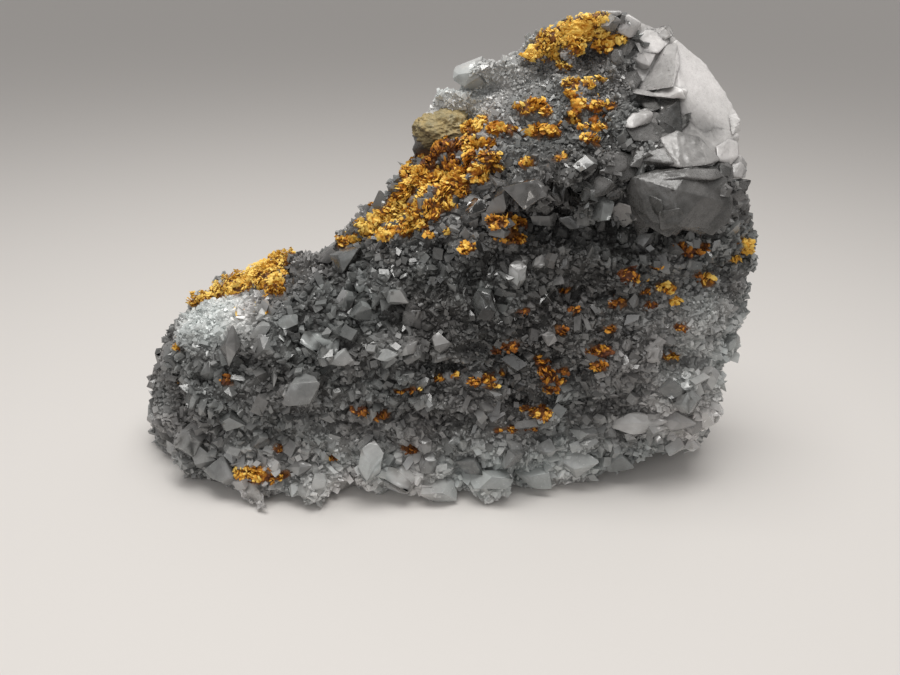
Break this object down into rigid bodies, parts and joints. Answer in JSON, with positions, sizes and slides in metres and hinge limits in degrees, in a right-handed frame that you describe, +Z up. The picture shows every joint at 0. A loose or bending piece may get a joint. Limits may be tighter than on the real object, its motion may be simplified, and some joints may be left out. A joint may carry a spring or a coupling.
{
  "type": "mineral specimen",
  "caption": "Upright slab of grey calcite crystals with white calcite at one upper corner and yellow-orange realgar crusts, standing on its own flat-cut base.",
  "frame": {"origin": "bottom centre of the specimen's box, on the surface it stands on", "axes": "+X to the viewer's right along the length, +Y away from the viewer through the thickness, +Z up"},
  "size_m": [0.3958, 0.1126, 0.2778],
  "materials": {
    "grey_calcite": "rough, sparkling",
    "white_calcite": "translucent, smooth faces",
    "realgar": "crumbly, resinous"
  },
  "bodies": {
    "root": {"calcite_matrix": "grey_calcite", "white_calcite": "white_calcite", "realgar_crust_brow": "realgar", "realgar_crust_hollow": "realgar", "realgar_crust_middle": "realgar", "realgar_crust_ridge": "realgar", "realgar_crust_shoulder": "realgar", "realgar_crust_slope": "realgar", "realgar_crust_summit": "realgar", "realgar_patch_centre": "realgar", "realgar_patch_column": "realgar", "realgar_patch_corner": "realgar", "realgar_patch_ember": "realgar", "realgar_patch_flame": "realgar", "realgar_patch_foot": "realgar", "realgar_patch_left": "realgar", "realgar_patch_low": "realgar", "realgar_patch_right": "realgar", "realgar_patch_rust": "realgar"}
  },
  "joints": []
}
